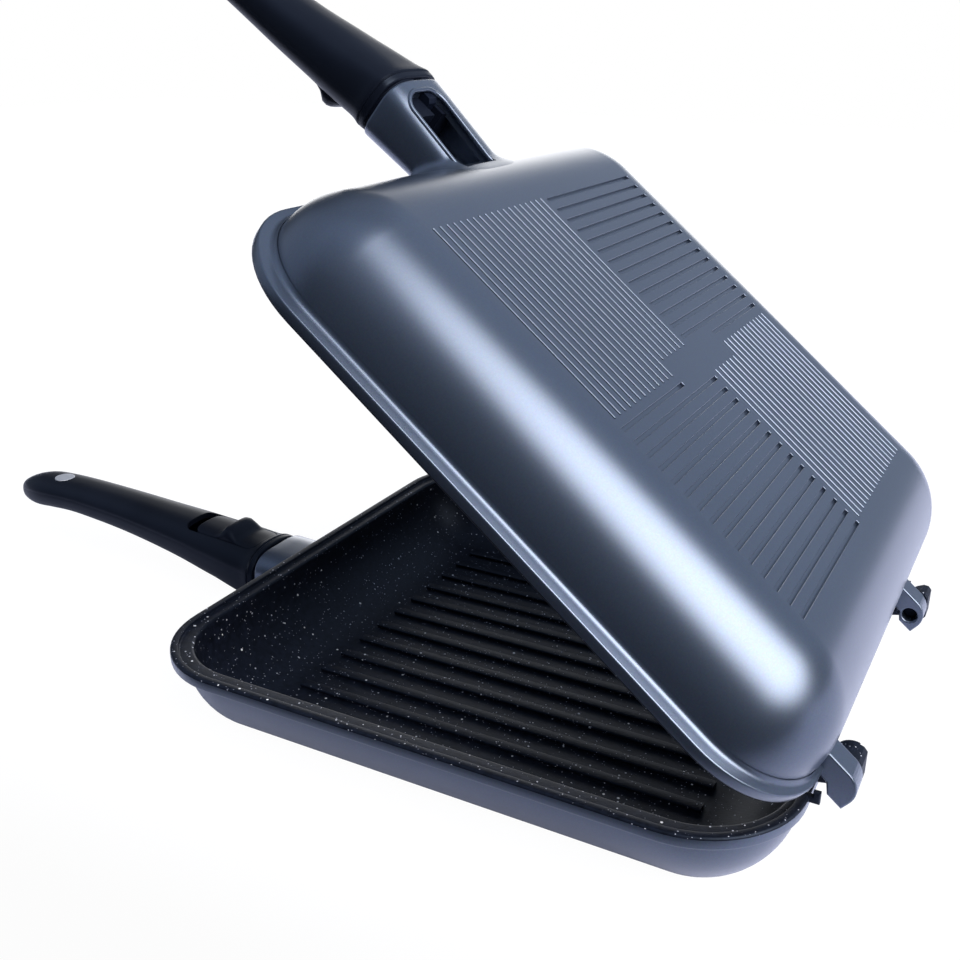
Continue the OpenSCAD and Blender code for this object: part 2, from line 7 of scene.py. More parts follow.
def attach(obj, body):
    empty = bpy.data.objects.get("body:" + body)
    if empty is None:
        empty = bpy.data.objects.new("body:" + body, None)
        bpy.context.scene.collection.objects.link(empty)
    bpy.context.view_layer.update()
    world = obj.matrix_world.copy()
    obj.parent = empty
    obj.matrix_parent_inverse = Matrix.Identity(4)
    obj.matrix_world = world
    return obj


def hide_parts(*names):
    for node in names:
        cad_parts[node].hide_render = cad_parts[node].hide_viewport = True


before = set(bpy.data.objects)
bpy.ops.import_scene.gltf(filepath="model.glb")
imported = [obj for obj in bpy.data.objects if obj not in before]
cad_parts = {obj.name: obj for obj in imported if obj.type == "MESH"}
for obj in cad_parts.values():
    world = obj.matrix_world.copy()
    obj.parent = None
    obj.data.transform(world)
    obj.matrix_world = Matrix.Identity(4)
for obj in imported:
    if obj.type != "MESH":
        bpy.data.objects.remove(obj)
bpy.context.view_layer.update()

# ---------------------------------------------------------------- sizes, in mm
MM = 0.001
PAN_X, PAN_Y = 243.0, 240.4         # lower rim
LID_OVER = 0.5                      # how far the upper rim stands past the lower one
HALF_DEPTH, RIM_GAP = 35.6, 0.3
CORNER_R, BAND_H, LEDGE_W = 37.0, 4.5, 5.4
BOWL_SHIFT, BOWL_R, DRAFT = 0.9, 33.4, math.radians(4)
BASE_T, WALL_T, LAND_W, STEP_H = 4.0, 4.0, 3.2, 1.4
LEDGE_X = LEDGE_W - 2.2             # the ledge is narrower at the socket and at the hinge
RIM_Z = HALF_DEPTH - RIM_GAP / 2
LEDGE_Z = RIM_Z - BAND_H
TURN = min(32.6, (LEDGE_Z - 0.4) / (1 - math.sin(DRAFT)))   # radius between base and wall
RUN_X = PAN_X - 2 * LEDGE_X - 2 * BOWL_R    # straight runs between the bowl's corners
RUN_Y = PAN_Y - 2 * LEDGE_W - 2 * BOWL_R
AXIS_OUT, AXIS_UP = 8.0, 3.6        # hinge axis, from the rim and from where the rims meet
AXIS_X, AXIS_Z = PAN_X / 2 + AXIS_OUT, HALF_DEPTH + AXIS_UP
LID_OPEN = math.radians(39.16)
SOCKET_LEN, SOCKET_W, SOCKET_H, SOCKET_LOW = 23.0, 38.0, 26.4, 1.8
COLLAR_X = -(PAN_X / 2 + SOCKET_LEN)
SOCKET_Z = SOCKET_LOW + SOCKET_H / 2

# the lower half is drawn where it stands; the upper half is the same turned over, then swung open
LOWER = Matrix.Identity(4)
FLIP = Matrix.Translation((0, 0, 2 * HALF_DEPTH)) @ Matrix.Rotation(math.pi, 4, "X")
SWING = (Matrix.Translation((AXIS_X, 0, AXIS_Z)) @ Matrix.Rotation(LID_OPEN, 4, "Y")
         @ Matrix.Translation((-AXIS_X, 0, -AXIS_Z)))
UPPER = SWING @ FLIP


# ---------------------------------------------------------------- materials
def linear(code):
    """A colour written as a hex value, in linear light."""
    parts = [int(code[i:i + 2], 16) / 255 for i in (1, 3, 5)]
    return [c / 12.92 if c <= 0.04045 else ((c + 0.055) / 1.055) ** 2.4 for c in parts] + [1.0]


def per_mm(count):
    """Scale of a pattern with this many cells in a millimetre."""
    return count / MM


def add(tree, kind, inputs=(), **settings):
    """Adds a node to a tree, with its settings, its values and the sockets that feed it."""
    node = tree.nodes.new(kind)
    for key, value in settings.items():
        setattr(node, key, value)
    for key, value in dict(inputs).items():
        if isinstance(value, bpy.types.NodeSocket):
            tree.links.new(value, node.inputs[key])
        else:
            node.inputs[key].default_value = value
    return node


def new_material(name):
    material = bpy.data.materials.new(name)
    material.use_nodes = True
    tree = material.node_tree
    tree.nodes.clear()
    place = add(tree, "ShaderNodeTexCoord").outputs["Object"]
    return material, tree, place


def finish_material(tree, shader):
    add(tree, "ShaderNodeOutputMaterial", {"Surface": shader.outputs[0]})


def ramp(tree, source, stops):
    """A colour ramp fed by source; stops are (place, grey or colour)."""
    node = add(tree, "ShaderNodeValToRGB", {"Fac": source})
    points = node.color_ramp.elements
    while len(points) < len(stops):
        points.new(0.5)
    for point, (where, tint) in zip(points, stops):
        point.position = where
        point.color = tint if not isinstance(tint, float) else (tint, tint, tint, 1)
    return node.outputs["Color"]


PAINTED_BLUE_REFLECTION = linear("#cee2ff")            # painted reflection: tints the reflections of the dark coating and plastics blue, standing in for the studio's bluish light


def metallic_paint(name, low, high, rough=0.3):
    """Baked metallic lacquer over cast aluminium: flakes drawn 0.4 mm wide so that they show, a
    slow drift of shade, and a soft white highlight in a clear coat with a faint orange peel."""
    material, tree, place = new_material(name)
    drift = add(tree, "ShaderNodeTexNoise", {"Vector": place, "Scale": per_mm(0.009),
                                             "Detail": 2.0})
    flake = add(tree, "ShaderNodeTexVoronoi", {"Vector": place, "Scale": per_mm(2.5)})
    blend = ramp(tree, drift.outputs["Fac"], [(0.3, 0.0), (0.7, 1.0)])
    shade = add(tree, "ShaderNodeMix", {0: blend, "A": linear(low), "B": linear(high)},
                data_type="RGBA")
    sparkle = add(tree, "ShaderNodeMix", {0: 0.1, "A": shade.outputs["Result"],
                                          "B": flake.outputs["Color"]},
                  data_type="RGBA", blend_type="SOFT_LIGHT")
    peel = add(tree, "ShaderNodeTexNoise", {"Vector": place, "Scale": per_mm(0.7), "Detail": 3.0})
    bump = add(tree, "ShaderNodeBump", {"Height": peel.outputs["Fac"], "Strength": 0.2,
                                        "Distance": 0.01 * MM})
    wear = add(tree, "ShaderNodeMapRange", {"Value": drift.outputs["Fac"], "To Min": rough - 0.03,
                                            "To Max": rough + 0.04})
    shader = add(tree, "ShaderNodeBsdfPrincipled",
                 {"Base Color": sparkle.outputs["Result"], "Metallic": 0.75,
                  "Roughness": wear.outputs["Result"], "Normal": bump.outputs["Normal"],
                  "Coat Weight": 1.0, "Coat Roughness": 0.26, "Coat IOR": 1.6})
    finish_material(tree, shader)
    return material


def stone_coating(name):
    """Sprayed non-stick coating with mineral grains: near black and gritty, speckled with pale
    grains of 0.2 to 1.2 mm."""
    material, tree, place = new_material(name)
    cloud = add(tree, "ShaderNodeTexNoise", {"Vector": place, "Scale": per_mm(0.42),
                                             "Detail": 4.0})
    colour = ramp(tree, cloud.outputs["Fac"], [(0.3, linear("#080a12")), (0.7, linear("#171b28"))])
    # cell in mm, share of the cells with a grain, its middle diameter in mm, its colour
    for cell, share, size, tint in ((1.2, 0.36, 0.42, "#a0a3b2"), (2.1, 0.34, 0.62, "#d2d5e0"),
                                    (4.2, 0.42, 0.9, "#fbfcff")):
        cells = add(tree, "ShaderNodeTexVoronoi", {"Vector": place, "Scale": 1 / (cell * MM)})
        split = add(tree, "ShaderNodeSeparateColor", {"Color": cells.outputs["Color"]})
        chosen = add(tree, "ShaderNodeMath", {0: split.outputs["Red"], 1: share},
                     operation="LESS_THAN")
        radius = size / cell / 2
        reach = add(tree, "ShaderNodeMapRange", {"Value": split.outputs["Green"],
                                                 "To Min": radius * 0.55, "To Max": radius * 1.35})
        inside = add(tree, "ShaderNodeMath", {0: reach.outputs["Result"],
                                              1: cells.outputs["Distance"]}, operation="SUBTRACT")
        dot = add(tree, "ShaderNodeMath", {0: inside.outputs[0], 1: 30.0}, operation="MULTIPLY",
                  use_clamp=True)
        mask = add(tree, "ShaderNodeMath", {0: dot.outputs[0], 1: chosen.outputs[0]},
                   operation="MULTIPLY")
        mix = add(tree, "ShaderNodeMix", {0: mask.outputs[0], "A": colour, "B": linear(tint)},
                  data_type="RGBA")
        colour = mix.outputs["Result"]
    grit = add(tree, "ShaderNodeTexNoise", {"Vector": place, "Scale": per_mm(1.1), "Detail": 3.0})
    bump = add(tree, "ShaderNodeBump", {"Height": grit.outputs["Fac"], "Strength": 0.6,
                                        "Distance": 0.08 * MM})
    # its reflections are tinted blue: a painted reflection of the studio's bluish light
    shader = add(tree, "ShaderNodeBsdfPrincipled",
                 {"Base Color": colour, "Roughness": 0.45, "Normal": bump.outputs["Normal"],
                  "Specular IOR Level": 0.3, "Specular Tint": PAINTED_BLUE_REFLECTION})
    finish_material(tree, shader)
    return material


def moulded_plastic(name, low, high, rough, sheen=0.24):
    """Moulded nylon with a satin sheen; its spark-eroded grain is drawn 0.4 mm wide, coarser than
    the real one, so that it shows."""
    material, tree, place = new_material(name)
    cloud = add(tree, "ShaderNodeTexNoise", {"Vector": place, "Scale": per_mm(0.03),
                                             "Detail": 3.0})
    colour = ramp(tree, cloud.outputs["Fac"], [(0.3, linear(low)), (0.7, linear(high))])
    grain = add(tree, "ShaderNodeTexNoise", {"Vector": place, "Scale": per_mm(2.6), "Detail": 2.0})
    bump = add(tree, "ShaderNodeBump", {"Height": grain.outputs["Fac"], "Strength": 0.25,
                                        "Distance": 0.02 * MM})
    gloss = add(tree, "ShaderNodeMapRange", {"Value": cloud.outputs["Fac"], "To Min": rough - 0.04,
                                             "To Max": rough + 0.05})
    # its reflections are tinted blue: a painted reflection of the studio's bluish light
    shader = add(tree, "ShaderNodeBsdfPrincipled",
                 {"Base Color": colour, "Roughness": gloss.outputs["Result"],
                  "Normal": bump.outputs["Normal"], "IOR": 1.5, "Specular IOR Level": sheen,
                  "Specular Tint": PAINTED_BLUE_REFLECTION})
    finish_material(tree, shader)
    return material


def plated_metal(name, tint, rough):
    """Plated steel: a bright satin metal, its fine grain drawn 0.25 mm wide so that it shows."""
    material, tree, place = new_material(name)
    grain = add(tree, "ShaderNodeTexNoise", {"Vector": place, "Scale": per_mm(4.0), "Detail": 2.0})
    bump = add(tree, "ShaderNodeBump", {"Height": grain.outputs["Fac"], "Strength": 0.12,
                                        "Distance": 0.01 * MM})
    gloss = add(tree, "ShaderNodeMapRange", {"Value": grain.outputs["Fac"], "To Min": rough - 0.05,
                                             "To Max": rough + 0.08})
    shader = add(tree, "ShaderNodeBsdfPrincipled",
                 {"Base Color": linear(tint), "Metallic": 1.0,
                  "Roughness": gloss.outputs["Result"], "Normal": bump.outputs["Normal"]})
    finish_material(tree, shader)
    return material


PAINT = metallic_paint("metallic_lacquer", "#4f5b6f", "#576378")
STONE = stone_coating("speckled_stone_coating")
GRIP = moulded_plastic("moulded_nylon_grip", "#0d101a", "#131722", 0.38)
SLIDE = moulded_plastic("moulded_nylon_slider", "#0b0e18", "#10131f", 0.38)
# the tang inside the socket is drawn near black and bluish: painted shade, so that it sinks into
# the socket's dark hollow
INNER_PAINTED_SHADE = moulded_plastic("moulded_nylon_in_painted_shade", "#0a0d18", "#0f1320", 0.6, 0.15)
STEEL = plated_metal("zinc_plated_steel", "#b4b5ba", 0.3)
# black oxide hides the metal, so it is drawn as a dull dark coat; it is drawn darker and bluer
# still, a painted shade, so that the latch lever sinks into the socket's dark hollow
DARK_STEEL = moulded_plastic("blackened_steel_in_painted_shade", "#0c101d", "#121726", 0.5, 0.15)
WIRE = plated_metal("drawn_spring_wire", "#a9aab0", 0.28)
NICKEL = plated_metal("nickel_plated_magnet", "#e8e8ec", 0.62)


# ---------------------------------------------------------------- mesh helpers
CREASE = 38                         # degrees; a sharper edge stays sharp


def in_scene(name, data):
    """Makes an object of a mesh, curve or camera and puts it in the scene."""
    thing = bpy.data.objects.new(name, data)
    bpy.context.scene.collection.objects.link(thing)
    return thing


def smooth_by_angle(mesh, degrees=CREASE):
    """Shades a mesh smooth but for its sharper edges."""
    for polygon in mesh.polygons:
        polygon.use_smooth = True
    mesh.set_sharp_from_angle(angle=math.radians(degrees))


def face_outwards(mesh, within=0.0):
    """Turns a mesh's faces outwards, once the points that lie within a distance are merged."""
    work = bmesh.new()
    work.from_mesh(mesh)
    if within:
        bmesh.ops.remove_doubles(work, verts=work.verts, dist=within)
    bmesh.ops.recalc_face_normals(work, faces=work.faces)
    work.to_mesh(mesh)
    work.free()


def mesh_object(name, points, faces, materials, picks=None, place=LOWER, crease=CREASE):
    """An object at the origin, whose mesh is drawn in mm in the lower half and put in its place."""
    mesh = bpy.data.meshes.new(name)
    mesh.from_pydata([(place @ Vector(p)) * MM for p in points], [], faces)
    for material in materials:
        mesh.materials.append(material)
    if picks:
        mesh.polygons.foreach_set("material_index", picks)
    face_outwards(mesh, 0.002 * MM)
    smooth_by_angle(mesh, crease)
    return in_scene(name, mesh)


def apply_modifiers(piece):
    """Turns what the modifiers make into the piece's plain mesh."""
    bpy.context.view_layer.update()
    seen = piece.evaluated_get(bpy.context.evaluated_depsgraph_get())
    mesh = bpy.data.meshes.new_from_object(seen)
    piece.modifiers.clear()
    old = piece.data
    piece.data = mesh
    mesh.name = piece.name
    bpy.data.meshes.remove(old)


def cut(piece, cutter):
    """Cuts a closed shape out of a piece."""
    step = piece.modifiers.new("cut", "BOOLEAN")
    step.operation, step.solver, step.object = "DIFFERENCE", "EXACT", cutter
    apply_modifiers(piece)
    bpy.data.objects.remove(cutter)
    smooth_by_angle(piece.data)
    return piece


def merge(name, pieces):
    """Joins several pieces of one part into one object."""
    with bpy.context.temp_override(active_object=pieces[0], selected_editable_objects=pieces,
                                   selected_objects=pieces, object=pieces[0]):
        bpy.ops.object.join()
    pieces[0].name = name
    pieces[0].data.name = name
    return pieces[0]


def arc(cx, cz, r, start, end, steps):
    """Points of an arc, between two angles in degrees."""
    return [(cx + r * math.cos(math.radians(start + (end - start) * i / steps)),
             cz + r * math.sin(math.radians(start + (end - start) * i / steps)))
            for i in range(steps + 1)]


def circle(x, y, r, n=32):
    return [(x + r * math.cos(2 * math.pi * i / n), y + r * math.sin(2 * math.pi * i / n))
            for i in range(n)]


def rounded(half_x, half_y, r, per_corner=16, per_side=6):
    """Points round a rectangle with round corners; r may be near 0."""
    r = max(r, 0.02)
    points = []
    corners = ((1, 1, 0), (-1, 1, 90), (-1, -1, 180), (1, -1, 270))
    for n, (sx, sy, start) in enumerate(corners):
        corner = arc(sx * (half_x - r), sy * (half_y - r), r, start, start + 90, per_corner)
        next_x, next_y, next_start = corners[(n + 1) % 4]
        end_x = next_x * (half_x - r) + r * math.cos(math.radians(next_start))
        end_y = next_y * (half_y - r) + r * math.sin(math.radians(next_start))
        x, y = corner[-1]
        points += corner
        points += [(x + (end_x - x) * i / per_side, y + (end_y - y) * i / per_side)
                   for i in range(1, per_side)]
    return points


def loft(rings, capped=True):
    """Points and faces of a skin through rings of equal length."""
    n = len(rings[0])
    points = [p for ring in rings for p in ring]
    faces = [(k * n + i, k * n + (i + 1) % n, (k + 1) * n + (i + 1) % n, (k + 1) * n + i)
             for k in range(len(rings) - 1) for i in range(n)]
    if capped:
        faces.append(tuple(range(n))[::-1])
        faces.append(tuple(range((len(rings) - 1) * n, len(rings) * n)))
    return points, faces


def prism(name, outline, low, high, material, place):
    """An upright block between two heights, used to cut."""
    points, faces = loft([[(x, y, z) for x, y in outline] for z in (low, high)])
    return mesh_object(name, points, faces, [material], None, place)


def flat_shape(name, outlines, thickness, edge, material, place):
    """A plate with holes, all its edges rounded: the first outline is its rim, the others holes.
    Its faces lie at 0 and at -thickness."""
    curve = bpy.data.curves.new(name, "CURVE")
    curve.dimensions, curve.fill_mode = "2D", "BOTH"
    curve.extrude = thickness / 2 - edge
    curve.bevel_depth, curve.bevel_resolution, curve.offset = edge, 2, -edge
    for outline in outlines:
        line = curve.splines.new("POLY")
        line.points.add(len(outline) - 1)
        for point, (x, y) in zip(line.points, outline):
            point.co = (x, y, 0, 1)
        line.use_cyclic_u = True
    source = in_scene(name, curve)
    bpy.context.view_layer.update()
    seen = source.evaluated_get(bpy.context.evaluated_depsgraph_get())
    mesh = bpy.data.meshes.new_from_object(seen)
    bpy.data.objects.remove(source)
    bpy.data.curves.remove(curve)
    points = [(v.co.x, v.co.y, v.co.z - thickness / 2) for v in mesh.vertices]
    faces = [tuple(p.vertices) for p in mesh.polygons]
    bpy.data.meshes.remove(mesh)
    return mesh_object(name, points, faces, [material], None, place, 8)


# ---------------------------------------------------------------- one cast dish
PAINTED, COATED = 0, 1              # slots of its two finishes
LEDGE_FILLET, STEP_R = 2.0, 1.2     # under the ledge; at the step inside the rim
LEAST = 0.05                        # smallest reach, so that no ring shrinks to a point


def bowl_ring(reach, z):
    """Ring of the bowl; reach is counted from its corners' centres."""
    return [(x + BOWL_SHIFT, y, z) for x, y in
            rounded(RUN_X / 2 + reach, RUN_Y / 2 + reach, reach)]


def rim_ring(over, inset, z):
    """Ring of the rim, inset from its outer edge."""
    out = over - inset
    return [(x, y, z) for x, y in rounded(PAN_X / 2 + out, PAN_Y / 2 + out, CORNER_R + out)]


def wall_profile(reach, turn, low):
    """Points of the wall from the flat floor to the ledge's height, as reach and height."""
    turn_z = low + turn * (1 - math.sin(DRAFT))
    turn_x = reach - (LEDGE_Z - turn_z) * math.tan(DRAFT)
    mid_x = turn_x - turn * math.cos(DRAFT)
    return arc(mid_x, low + turn, turn, -90, -math.degrees(DRAFT), 18)


def dish(over, place, name):
    """The dish: painted outside up to the rim, coated on the rim and inside."""
    hollow = BOWL_R - WALL_T / math.cos(DRAFT)
    step_z = RIM_Z - STEP_H
    step_reach = hollow + (step_z - LEDGE_Z) * math.tan(DRAFT)
    land = LAND_W + over
    base = FIELD / 2 + 0.8          # the grooves lie in one flat face of the base
    painted = [[(x + BOWL_SHIFT, y, 0.0) for x, y in rounded(base, base, 0.02)]]
    painted += [bowl_ring(max(reach, LEAST), z) for reach, z in wall_profile(BOWL_R, TURN, 0.0)]
    painted += [bowl_ring(reach, z) for reach, z in
                arc(BOWL_R + LEDGE_FILLET, LEDGE_Z - LEDGE_FILLET, LEDGE_FILLET, 180, 90, 6)]
    painted += [rim_ring(over, inset, z) for inset, z in
                ((0.7, LEDGE_Z), (0.35, LEDGE_Z + 0.09), (0.1, LEDGE_Z + 0.32),
                 (0.0, LEDGE_Z + 0.7), (0.0, RIM_Z - 0.9))]
    coated = [rim_ring(over, inset, z) for inset, z in
              ((0.12, RIM_Z - 0.45), (0.45, RIM_Z - 0.12), (0.9, RIM_Z), (land - 0.5, RIM_Z),
               (land - 0.15, RIM_Z - 0.12), (land, RIM_Z - 0.45), (land + 0.1, step_z + 0.25),
               (land + 0.4, step_z))]
    coated += [bowl_ring(reach, z) for reach, z in
               arc(step_reach + STEP_R, step_z - STEP_R, STEP_R, 90, 180, 4)]
    coated += [bowl_ring(max(reach, LEAST), z) for reach, z in
               reversed(wall_profile(hollow, TURN - WALL_T, BASE_T))]
    points, faces = loft(painted + coated)
    n = len(painted[0])
    picks = ([PAINTED] * ((len(painted) - 1) * n) + [COATED] * (len(coated) * n)
             + [PAINTED, COATED])
    piece = mesh_object(name, points, faces, [PAINT, STONE], picks, place)
    return cut(piece, groove_cutter(place, name + "_grooves"))


# ---------------------------------------------------------------- grooves under the base
FIELD = 162.0                       # side of the square field, in four quarters
FINE_N, FINE_W, FINE_CHAMFER = 19, 0.85, 0.22       # in each quarter
BROAD_N, BROAD_W, BROAD_CHAMFER = 15, 1.6, 0.13
GROOVE_D, GROOVE_END_R, GROOVE_GAP = 1.15, 0.3, 1.6
PANEL_LEN, PANEL_W = 44.0, 11.0     # plain panel in the middle
CLEAR = 0.6                         # how far the cutter stands out of the base


def slot_outline(x0, x1, y, w, r, turned):
    """Outline of a groove along X, or along Y when turned."""
    ring = [(px + (x0 + x1) / 2, py + y) for px, py in rounded((x1 - x0) / 2, w / 2, r, 5, 1)]
    return [(py, px) for px, py in ring][::-1] if turned else ring


def groove(start, end, across, wide, chamfer, turned):
    """Rings of one groove, from below the base up to its bottom; its mouth is chamfered."""
    rings = []
    for grow, z in ((chamfer + CLEAR, -CLEAR), (0.0, chamfer), (0.0, GROOVE_D)):
        ring = slot_outline(start - grow, end + grow, across, wide + 2 * grow,
                            GROOVE_END_R + grow, turned)
        rings.append([(x, y, z) for x, y in ring])
    return rings


def groove_cutter(place, name):
    """Field of grooves under the base: fine ones along X in two quarters, broad ones along Y in the
    other two, round a plain smooth panel."""
    quarter = FIELD / 2
    bare_x, bare_y = PANEL_W / 2 + 2.6, PANEL_LEN / 2 + 4
    points, faces = [], []
    # which side of the middle, how far the fine grooves run past it, and how many pitches from
    # it the first broad one lies
    for side, past, first in ((1, 0.0, 0.95), (-1, 2.6, 0.6)):
        grooves = []
        for i in range(FINE_N):
            y = (i + 0.6) * quarter / FINE_N
            start = (bare_x if y < bare_y else GROOVE_GAP) - past
            grooves.append(groove(start, quarter - 0.8, -y, FINE_W, FINE_CHAMFER, False))
        for i in range(BROAD_N):
            x = (i + first) * quarter / BROAD_N
            start = bare_y if x < bare_x else GROOVE_GAP
            grooves.append(groove(start, quarter + 0.3, x, BROAD_W, BROAD_CHAMFER, True))
        for rings in grooves:
            turned = [[(side * x + BOWL_SHIFT, side * y, z) for x, y, z in ring] for ring in rings]
            more_points, more_faces = loft(turned)
            faces += [tuple(len(points) + i for i in face) for face in more_faces]
            points += more_points
    return mesh_object(name, points, faces, [PAINT], None, place)


# ---------------------------------------------------------------- ridges on the floor
RIDGES, RIDGE_PITCH, RIDGE_LEN = 12, 14.25, 168.0
RIDGE_H, RIDGE_W, RIDGE_R = 1.6, 3.7, 0.5


def ridge_tree():
    """Geometry nodes: a straight rounded ridge along X, repeated across the floor."""
    tree = bpy.data.node_groups.new("grill_ridges", "GeometryNodeTree")
    sockets = tree.interface
    for label, kind, value in (("Count", "Int", RIDGES), ("Pitch", "Float", RIDGE_PITCH * MM),
                               ("Length", "Float", RIDGE_LEN * MM),
                               ("Height", "Float", RIDGE_H * MM), ("Foot", "Float", RIDGE_W * MM),
                               ("Top", "Float", RIDGE_W * 0.6 * MM),
                               ("Edge", "Float", RIDGE_R * MM)):
        socket = sockets.new_socket(name=label, in_out="INPUT", socket_type="NodeSocket" + kind)
        socket.default_value = value
    sockets.new_socket(name="Coating", in_out="INPUT", socket_type="NodeSocketMaterial")
    sockets.new_socket(name="Geometry", in_out="OUTPUT", socket_type="NodeSocketGeometry")
    given = add(tree, "NodeGroupInput").outputs
    half = add(tree, "ShaderNodeMath", {0: given["Length"], 1: 0.5}, operation="MULTIPLY")
    minus = add(tree, "ShaderNodeMath", {0: half.outputs[0], 1: -1.0}, operation="MULTIPLY")
    start = add(tree, "ShaderNodeCombineXYZ", {"X": minus.outputs[0]})
    end = add(tree, "ShaderNodeCombineXYZ", {"X": half.outputs[0]})
    line = add(tree, "GeometryNodeCurvePrimitiveLine", {"Start": start.outputs[0],
                                                        "End": end.outputs[0]})
    upright = add(tree, "GeometryNodeSetCurveNormal", {"Curve": line.outputs[0]}, mode="Z_UP")
    # the profile reaches as far below the floor as above it, so that only its rounded top shows
    deep = add(tree, "ShaderNodeMath", {0: given["Height"], 1: 2.0}, operation="MULTIPLY")
    wide = add(tree, "ShaderNodeMath", {0: given["Foot"], 1: 2.0}, operation="MULTIPLY")
    foot = add(tree, "ShaderNodeMath", {0: wide.outputs[0], 1: given["Top"]},
               operation="SUBTRACT")
    block = add(tree, "GeometryNodeCurvePrimitiveQuadrilateral",
                {"Bottom Width": foot.outputs[0], "Top Width": given["Top"],
                 "Height": deep.outputs[0], "Offset": 0.0}, mode="TRAPEZOID")
    edged = add(tree, "GeometryNodeFilletCurve", {"Curve": block.outputs[0], "Count": 4,
                                                  "Radius": given["Edge"], "Limit Radius": True},
                mode="POLY")
    swept = add(tree, "GeometryNodeCurveToMesh",
                {"Curve": upright.outputs[0], "Profile Curve": edged.outputs[0],
                 "Fill Caps": True})
    spans = add(tree, "ShaderNodeMath", {0: given["Count"], 1: 1.0}, operation="SUBTRACT")
    width = add(tree, "ShaderNodeMath", {0: spans.outputs[0], 1: given["Pitch"]},
                operation="MULTIPLY")
    first = add(tree, "ShaderNodeMath", {0: width.outputs[0], 1: -0.5}, operation="MULTIPLY")
    begin = add(tree, "ShaderNodeCombineXYZ", {"Y": first.outputs[0]})
    pace = add(tree, "ShaderNodeCombineXYZ", {"Y": given["Pitch"]})
    row = add(tree, "GeometryNodeMeshLine",
              {"Count": given["Count"], "Start Location": begin.outputs[0],
               "Offset": pace.outputs[0]})
    spread = add(tree, "GeometryNodeInstanceOnPoints", {"Points": row.outputs[0],
                                                        "Instance": swept.outputs[0]})
    real = add(tree, "GeometryNodeRealizeInstances", {"Geometry": spread.outputs[0]})
    coated = add(tree, "GeometryNodeSetMaterial", {"Geometry": real.outputs[0],
                                                   "Material": given["Coating"]})
    add(tree, "NodeGroupOutput", {"Geometry": coated.outputs[0]})
    return tree


def floor_ridges(tree, place, name):
    """The ridges on one half's floor, made with the ridge tree and put in place."""
    piece = mesh_object(name, [(0, 0, 0)], [], [STONE])
    step = piece.modifiers.new("ridges", "NODES")
    step.node_group = tree
    for item in tree.interface.items_tree:
        if item.in_out == "INPUT" and item.name == "Coating":
            step[item.identifier] = STONE
    apply_modifiers(piece)
    piece.data.transform(Matrix.Scale(1 / MM, 4))
    piece.data.transform(place @ Matrix.Translation((0, 0, BASE_T)))
    piece.data.transform(Matrix.Scale(MM, 4))
    face_outwards(piece.data)
    smooth_by_angle(piece.data, 40)
    return piece


# ---------------------------------------------------------------- cast socket for the handle
LEAN_LOW, LEAN_HIGH = math.radians(7), math.radians(3.5)    # its two sides close in on the pan
SOCKET_SQUARE = 0.56                # power of its oval section: 1 is round, 0 is square
HOLLOW_W, HOLLOW_T, HOLLOW_SQUARE = 32.0, 4.0, 0.6          # where it opens at the wall
MOUTH_W, MOUTH_LOW, MOUTH_HIGH, MOUTH_SQUARE = 25.0, 6.2, 25.2, 0.4
FLARE_R, SUNK = 5.0, 1.2            # flare at the wall, and how deep it goes into the wall
LIP_R = 0.95                        # bead round the window
OVAL_N = 72                         # points round a section


def powered(value, exponent):
    return math.copysign(abs(value) ** exponent, value)


def oval(half_w, low, high, power):
    """Section in y and z: an oval, squarer for a lower power."""
    return [(half_w * powered(math.cos(a), power),
             (low + high) / 2 + (high - low) / 2 * powered(math.sin(a), power))
            for a in (math.radians(360 / OVAL_N * i) for i in range(OVAL_N))]


def socket_low(x):
    """Height of the socket's side towards the base; it rises towards the pan."""
    return SOCKET_LOW + (x - COLLAR_X) * math.tan(LEAN_LOW)


def socket_high(x):
    return SOCKET_LOW + SOCKET_H - (x - COLLAR_X) * math.tan(LEAN_HIGH)


def socket_outside(x, grow=0.0):
    return oval(SOCKET_W / 2 + grow, socket_low(x) - grow, socket_high(x) + grow, SOCKET_SQUARE)


def socket_inside(x, grow=0.0):
    return oval(HOLLOW_W / 2 + grow, socket_low(x) + HOLLOW_T - grow,
                socket_high(x) - HOLLOW_T + grow, HOLLOW_SQUARE)


def socket_mouth(grow):
    return oval(MOUTH_W / 2 + grow, MOUTH_LOW - grow, MOUTH_HIGH + grow, MOUTH_SQUARE)


def socket_floor(x, y):
    """Height of the socket's side towards the base at a place in the half."""
    middle = (socket_low(x) + socket_high(x)) / 2
    share = max(1 - (2 * abs(y) / SOCKET_W) ** (2 / SOCKET_SQUARE), 0)
    return middle - (middle - socket_low(x)) * share ** (SOCKET_SQUARE / 2)


def wall_reach(z):
    """How far the bowl's outside reaches at a height."""
    turn_z = TURN * (1 - math.sin(DRAFT))
    if z >= turn_z:
        return BOWL_R - (LEDGE_Z - z) * math.tan(DRAFT)
    turn_x = BOWL_R - (LEDGE_Z - turn_z) * math.tan(DRAFT)
    mid_x = turn_x - TURN * math.cos(DRAFT)
    return mid_x + math.sqrt(max(TURN ** 2 - (TURN - max(z, 0)) ** 2, 0))


def wall_x(z):
    return BOWL_SHIFT - RUN_X / 2 - wall_reach(z)


def ring_at_wall(ahead, section, grow=0.0):
    """Ring whose points all lie ahead of the bowl's curved wall, found in a few rounds."""
    xs = [wall_x(SOCKET_Z)] * OVAL_N
    for _ in range(8):
        spots = [section(x, grow)[k] for k, x in enumerate(xs)]
        ring = [(x, y, max(z, 0.3)) for x, (y, z) in zip(xs, spots)]
        xs = [wall_x(z) - ahead for _, _, z in ring]
    return ring


